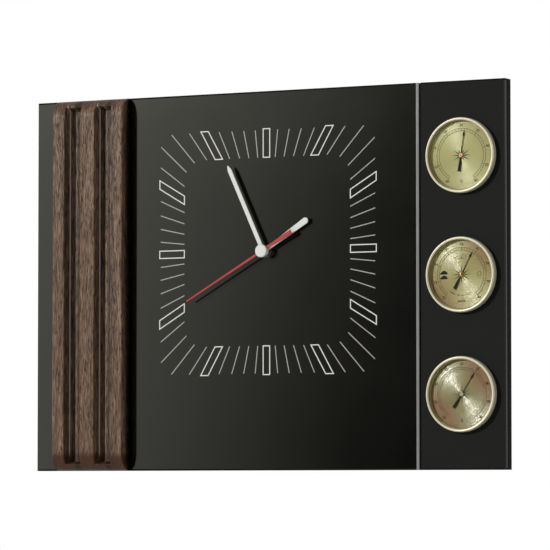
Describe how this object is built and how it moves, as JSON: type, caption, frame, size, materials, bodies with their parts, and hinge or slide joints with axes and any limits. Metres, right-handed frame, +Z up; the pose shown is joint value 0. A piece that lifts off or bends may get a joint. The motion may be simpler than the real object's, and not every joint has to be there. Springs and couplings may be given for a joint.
{
  "type": "barometer clock",
  "caption": "Wall clock with a square dial, a fluted wooden moulding and round thermometer, barometer and hygrometer gauges beside it.",
  "frame": {"origin": "on the wall plane, on the rear face of the top batten, midway between the two keyhole hangers", "axes": "+Z up, -Y out of the wall towards the reader, +X to the reader's right"},
  "size_m": [0.49, 0.0383, 0.35],
  "materials": {
    "panel_lacquer": "black lacquered fibreboard",
    "face_satin": "satin black with a silver print",
    "face_matt": "matt black",
    "strip_aluminium": "satin",
    "walnut": "matt dark walnut",
    "plywood": "raw plywood",
    "zinc_steel": "zinc plated",
    "nut_steel": "nickel plated",
    "black_plastic": "fine matt texture",
    "rubber": "matt",
    "circuit": "green solder mask",
    "copper": "copper",
    "lamination_steel": "bare steel",
    "nylon": "moulded natural nylon",
    "brass": "machined",
    "battery_sleeve": "plain printed sleeve",
    "hand_white": "white paint",
    "hand_red": "red paint",
    "bezel_champagne": "pale polished brass",
    "lens_glass": "clear",
    "gauge_dial": "spun brass with a black print",
    "pointer_black": "black paint"
  },
  "bodies": {
    "root": {"panel_board": "panel_lacquer", "dial_plate": "face_satin", "gauge_plate": "face_matt", "trim_strip": "strip_aluminium", "wood_moulding": "walnut", "rear_batten_top": "plywood", "rear_batten_bottom": "plywood", "keyhole_hanger_left": "zinc_steel", "keyhole_hanger_right": "zinc_steel", "hanger_screw_left_outer": "zinc_steel", "hanger_screw_left_inner": "zinc_steel", "hanger_screw_right_outer": "zinc_steel", "hanger_screw_right_inner": "zinc_steel", "moulding_screw_top": "zinc_steel", "moulding_screw_bottom": "zinc_steel", "movement_case": "black_plastic", "movement_cover": "black_plastic", "rubber_washer": "rubber", "hex_nut": "nut_steel", "circuit_board": "circuit", "coil": "copper", "stator": "lamination_steel", "battery_cell": "battery_sleeve", "battery_contact_negative": "zinc_steel", "battery_contact_positive": "zinc_steel", "thermometer_case": "black_plastic", "thermometer_bezel": "bezel_champagne", "thermometer_lens": "lens_glass", "thermometer_dial": "gauge_dial", "thermometer_coil": "brass", "barometer_case": "black_plastic", "barometer_bezel": "bezel_champagne", "barometer_lens": "lens_glass", "barometer_dial": "gauge_dial", "barometer_capsule": "copper", "barometer_bridge": "brass", "hygrometer_case": "black_plastic", "hygrometer_bezel": "bezel_champagne", "hygrometer_lens": "lens_glass", "hygrometer_dial": "gauge_dial", "hygrometer_coil": "brass"},
    "second_hand": {"second_hand": "hand_red", "hand_cap": "hand_white", "seconds_wheel": "nylon"},
    "rotor": {"rotor": "lamination_steel"},
    "intermediate_wheel": {"intermediate_wheel": "nylon"},
    "third_wheel": {"third_wheel": "nylon"},
    "centre_wheel": {"centre_wheel": "brass"},
    "minute_hand": {"minute_hand": "hand_white", "cannon_pinion": "nylon"},
    "motion_wheel": {"motion_wheel": "nylon"},
    "hour_hand": {"hour_hand": "hand_white", "hour_wheel": "nylon"},
    "setting_knob": {"setting_knob": "black_plastic"},
    "thermometer_pointer": {"thermometer_pointer": "pointer_black"},
    "barometer_pointer": {"barometer_pointer": "pointer_black"},
    "barometer_rocker": {"barometer_rocker": "brass"},
    "barometer_screw": {"barometer_adjusting_screw": "brass"},
    "hygrometer_pointer": {"hygrometer_pointer": "pointer_black"}
  },
  "joints": [
    {"name": "second_hand_turn", "type": "hinge", "parent": "root", "child": "second_hand", "pos_m": [0.0023, 0, -0.1084], "axis": [0, 1, 0], "continuous": true},
    {"name": "rotor_turn", "type": "hinge", "parent": "root", "child": "rotor", "pos_m": [0.01523, 0, -0.09816], "axis": [0, 1, 0], "continuous": true},
    {"name": "intermediate_turn", "type": "hinge", "parent": "root", "child": "intermediate_wheel", "pos_m": [0.01118, 0, -0.10517], "axis": [0, 1, 0], "continuous": true},
    {"name": "third_wheel_turn", "type": "hinge", "parent": "root", "child": "third_wheel", "pos_m": [-0.0028, 0, -0.09957], "axis": [0, 1, 0], "continuous": true},
    {"name": "centre_wheel_turn", "type": "hinge", "parent": "root", "child": "centre_wheel", "pos_m": [0.0023, 0, -0.1084], "axis": [0, 1, 0], "continuous": true},
    {"name": "minute_hand_turn", "type": "hinge", "parent": "root", "child": "minute_hand", "pos_m": [0.0023, 0, -0.1084], "axis": [0, 1, 0], "continuous": true},
    {"name": "motion_wheel_turn", "type": "hinge", "parent": "root", "child": "motion_wheel", "pos_m": [-0.0076, 0, -0.1098], "axis": [0, 1, 0], "continuous": true},
    {"name": "hour_hand_turn", "type": "hinge", "parent": "root", "child": "hour_hand", "pos_m": [0.0023, 0, -0.1084], "axis": [0, 1, 0], "continuous": true},
    {"name": "setting_knob_turn", "type": "hinge", "parent": "root", "child": "setting_knob", "pos_m": [-0.01583, 0, -0.10505], "axis": [0, 1, 0], "continuous": true},
    {"name": "thermometer_reading", "type": "hinge", "parent": "root", "child": "thermometer_pointer", "pos_m": [0.2023, 0, -0.0277], "axis": [0, 1, 0], "range_deg": [-156, 140], "stiffness_Nm_per_rad": 0.00002},
    {"name": "barometer_reading", "type": "hinge", "parent": "root", "child": "barometer_pointer", "pos_m": [0.2023, 0, -0.135], "axis": [0, 1, 0], "range_deg": [-168, 112], "stiffness_Nm_per_rad": 0.00002},
    {"name": "barometer_rocker_turn", "type": "hinge", "parent": "root", "child": "barometer_rocker", "pos_m": [0.1879, 0, -0.135], "axis": [0, 1, 0], "range_deg": [-17, 25]},
    {"name": "barometer_screw_turn", "type": "hinge", "parent": "root", "child": "barometer_screw", "pos_m": [0.2023, 0, -0.135], "axis": [0, 1, 0], "range_deg": [-180, 180]},
    {"name": "hygrometer_reading", "type": "hinge", "parent": "root", "child": "hygrometer_pointer", "pos_m": [0.2023, 0, -0.2423], "axis": [0, 1, 0], "range_deg": [-173, 107], "stiffness_Nm_per_rad": 0.00002}
  ],
  "couplings": [
    {"joint": "intermediate_turn", "follows": "second_hand_turn", "ratio": -6},
    {"joint": "rotor_turn", "follows": "second_hand_turn", "ratio": 30},
    {"joint": "third_wheel_turn", "follows": "second_hand_turn", "ratio": -0.13333},
    {"joint": "centre_wheel_turn", "follows": "second_hand_turn", "ratio": 0.016667},
    {"joint": "motion_wheel_turn", "follows": "minute_hand_turn", "ratio": -0.33333},
    {"joint": "hour_hand_turn", "follows": "minute_hand_turn", "ratio": 0.083333},
    {"joint": "setting_knob_turn", "follows": "minute_hand_turn", "ratio": 1.25},
    {"joint": "barometer_rocker_turn", "follows": "barometer_reading", "ratio": -0.14286}
  ]
}
